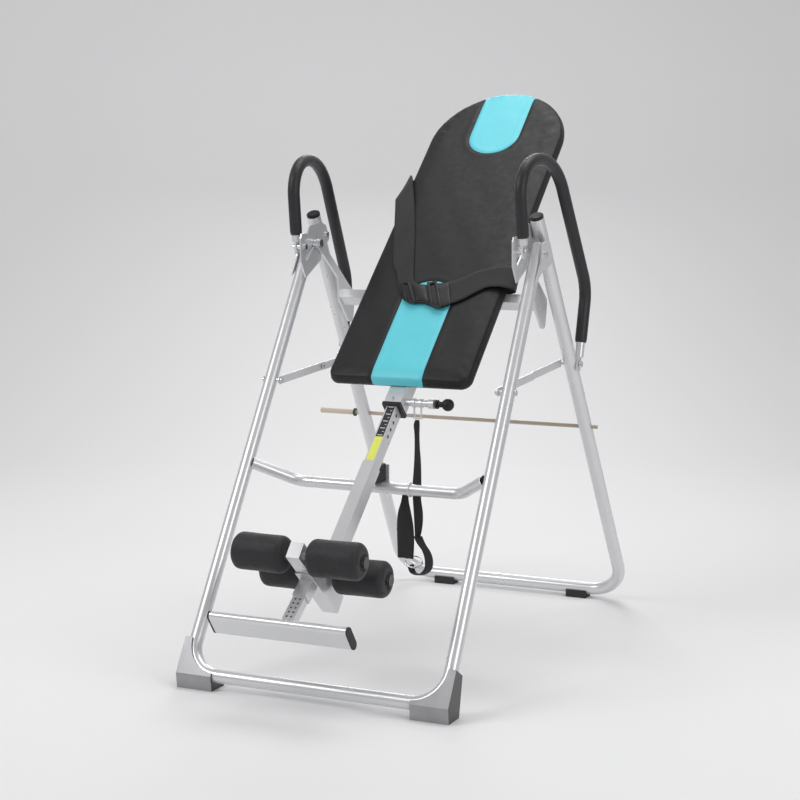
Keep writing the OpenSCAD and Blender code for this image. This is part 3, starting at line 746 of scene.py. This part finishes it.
# tether: a folded strap from the wire hook, a doubled limb with its slider, and a hanging loop
tether, wt, lt = ribbon(
    "tether_strap_upper",
    [(50, -160.5, 581.5), (48, -166, 570), (55, -177, 545), (62, -192, 515), (68, -208, 483), (74, -228, 446),
     (78, -239, 425), (80, -241, 404), (82, -240, 370), (84, -240, 336), (86, -241, 306)],
    [(60, -160.5, 581.5), (63, -165, 571), (67, -175, 547), (74, -188, 518), (84, -204, 487), (94, -224, 449),
     (99, -236, 428), (100, -238, 404), (105, -239, 372), (104, -240, 340), (97, -241, 304)],
    thick=3.2, wave=2.6, crown=1.5)
limb, wm, lm = ribbon(
    "tether_strap_limb",
    [(56, -243, 438), (54, -242, 418), (50, -242, 396), (43, -243, 372), (40, -243, 340), (41, -243, 300),
     (42, -243, 262)],
    [(68, -243, 438), (68, -242, 418), (70, -242, 396), (76, -243, 372), (82, -243, 340), (84, -243, 300),
     (82, -243, 262)],
    n=70, thick=6.5, wave=1.4, crown=3.0)
loop, wo, lo = ribbon(
    "tether_strap_loop",
    [(86, -250, 318), (96, -252, 302), (110, -254, 286), (117, -254, 264), (114, -253, 242), (98, -252, 228),
     (78, -251, 230), (70, -250, 246)],
    [(100, -232, 316), (110, -234, 298), (124, -236, 280), (130, -236, 260), (126, -236, 238), (106, -235, 224),
     (86, -234, 228), (78, -233, 248)],
    n=80, thick=2.6, wave=0.8)


def slider():
    """A plain wire slider that joins the loop to the limb."""
    c = bpy.data.curves.new("tether_slider", "CURVE")
    c.dimensions, c.bevel_depth, c.bevel_resolution, c.resolution_u = "3D", 0.0018, 4, 8
    corners = [(66, -238, 262), (100, -238, 262), (104, -248, 250), (66, -248, 250)]
    s = c.splines.new("BEZIER")
    s.bezier_points.add(len(corners) - 1)
    s.use_cyclic_u = True
    for bp, p in zip(s.bezier_points, corners):
        bp.co = [v * MM for v in p]
        bp.handle_left_type = bp.handle_right_type = "AUTO"
    o = bpy.data.objects.new("tether_slider", c)
    COL.objects.link(o)
    return o


sl = slider()
for o in (tether, limb, loop):
    dress(o, "webbing", "front_frame")
dress(sl, "bright_metal", "front_frame")
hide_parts("tether_strap")
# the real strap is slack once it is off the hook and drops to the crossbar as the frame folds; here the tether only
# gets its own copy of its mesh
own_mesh(tether)


# ---------------------------------------------------------------- foam rollers and grips
def roller(name, node_name, body, sign, y, z):
    """A turned foam roller on a bar along x; its profile is (x, radius) in mm."""
    prof = [(29.3, 9.3), (29.0, 16), (29.4, 25)]
    prof += [(44 - 14.6 * math.cos(a), 26.5 + 14.9 * math.sin(a)) for a in np.linspace(0.12, math.pi / 2, 9)]
    prof += [(x, 41.4 + 0.25 * math.sin(x / 19)) for x in np.linspace(50, 134, 14)]
    prof += [(139 + 14.6 * math.sin(a), 26.5 + 14.9 * math.cos(a)) for a in np.linspace(0, math.pi / 2 - 0.12, 9)]
    prof += [(153.9, 24), (153.4, 19.2), (151.6, 18.2), (151.2, 14), (151.2, 9.3), (100, 9.3), (60, 9.3)]
    seg, verts = 84, []
    rs = np.random.RandomState(7)
    ph = rs.uniform(0, 6.28, 4)
    for x, r in prof:
        for j in range(seg):
            a = 2 * math.pi * j / seg
            d = 0.28 * math.sin(3 * a + ph[0] + x / 40) + 0.2 * math.sin(7 * a + ph[1] - x / 23) if r > 24 else 0
            rr = r + d
            verts.append((sign * x * MM, y + rr * MM * math.cos(a), z + rr * MM * math.sin(a)))
    o = make(name, verts, tube_faces(len(prof), seg, closed=True))
    outward(o)
    dress(o, "roller_foam", body)
    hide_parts(node_name)


for side, sign in (("left", -1), ("right", 1)):
    roller(f"front_{side}_foam", f"front_{side}_roller", f"front_{side}_roller", sign, -0.657938, 0.342836)
    roller(f"rear_{side}_foam", f"rear_{side}_roller", f"rear_{side}_roller", sign, -0.532952, 0.278075)


def grip_path():
    """Centre line of the handle foam in its own plane (along, up), with its heading."""
    def fwd(a):
        return np.array([math.sin(a), math.cos(a)])

    h, out = math.radians(-8), []
    p = np.array([0.0, 1000.0]) + 15 * fwd(h)
    # straights by length and arcs by radius and angle, from the upper end of the foam to the lower
    for kind, size, ang in (("s", 93.7, 0), ("a", 75, 78), ("a", 145, 80), ("s", 245.1, 0), ("a", 100, 42),
                            ("s", 98.6, 0)):
        L = size if kind == "s" else size * math.radians(ang)
        n = max(int(L / 5), 2)
        for i in range(n):
            out.append((p.copy(), h, 0 if kind == "s" else 1.0 / size))
            if kind == "s":
                p = p + fwd(h) * L / n
            else:
                da = math.radians(ang) / n
                p = p + fwd(h + da / 2) * 2 * size * math.sin(da / 2)
                h += da
    out.append((p.copy(), h, 0))
    return out


def grips():
    """The foam of both handles, each the path's tube turned out by rot and set at its bolt."""
    path = grip_path()
    n, seg, rot = len(path), 40, math.radians(-5.8)
    # path index, radius where it isn't the foam's own, and shift along the path: two rings close each end in
    rings = [(0, 11.3, 0.9), (0, 13.4, 0.2)] + [(i, None, 0) for i in range(1, n - 1)]
    rings += [(n - 1, 13.4, -0.2), (n - 1, 11.3, -0.9)]
    verts, faces = [], []
    for mir in (1, -1):
        base = len(verts)
        for idx, r, shift in rings:
            p, h, curv = path[idx]
            q = p + np.array([math.sin(h), math.cos(h)]) * shift
            e = min(idx, n - 1 - idx)
            rad = r if r else 15.0 - (0.5 if e < 2 else 0)
            for j in range(seg):
                a = 2 * math.pi * j / seg
                # inside of a bend: the foam gathers in soft folds
                inner = max(math.cos(a), 0)
                fold = 0.35 * inner * math.sin(idx * 1.9) * (1 if curv > 0.008 else 0.25 * (curv > 0))
                rr = rad + (fold if r is None else 0)
                lx = rr * math.sin(a)
                ly, lz = q[0] + rr * math.cos(a) * math.cos(h), q[1] - rr * math.cos(a) * math.sin(h)
                X = 299 + lx * math.cos(rot) - ly * math.sin(rot)
                Y = -103 + lx * math.sin(rot) + ly * math.cos(rot)
                verts.append((mir * X * MM, Y * MM, lz * MM))
        faces += tube_faces(len(rings), seg, base)
    o = make("handle_grip_foam", verts, faces)
    outward(o)
    s = o.modifiers.new("wall", "SOLIDIFY")
    s.thickness, s.offset = 0.0012, -1
    return freeze(o)


g = grips()
dress(g, "grip_foam", "rear_frame")
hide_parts("handle_grips")

# ---------------------------------------------------------------- floor that sweeps up behind
sweep_r = 1.6
prof = [(-6, 0)]
prof += [(2.6 + sweep_r * math.sin(a), sweep_r - sweep_r * math.cos(a)) for a in np.linspace(0, math.pi / 2, 24)]
prof += [(4.2, 7)]
sv = [(x, y, z) for y, z in prof for x in (-9, 9)]
sweep = make("studio_floor", sv, [(2 * i, 2 * i + 1, 2 * i + 3, 2 * i + 2) for i in range(len(prof) - 1)])
sweep.data.materials.append(floor_mat())
sweep.data.transform(Matrix.Rotation(math.radians(VIEW_TURN), 4, "Z"))
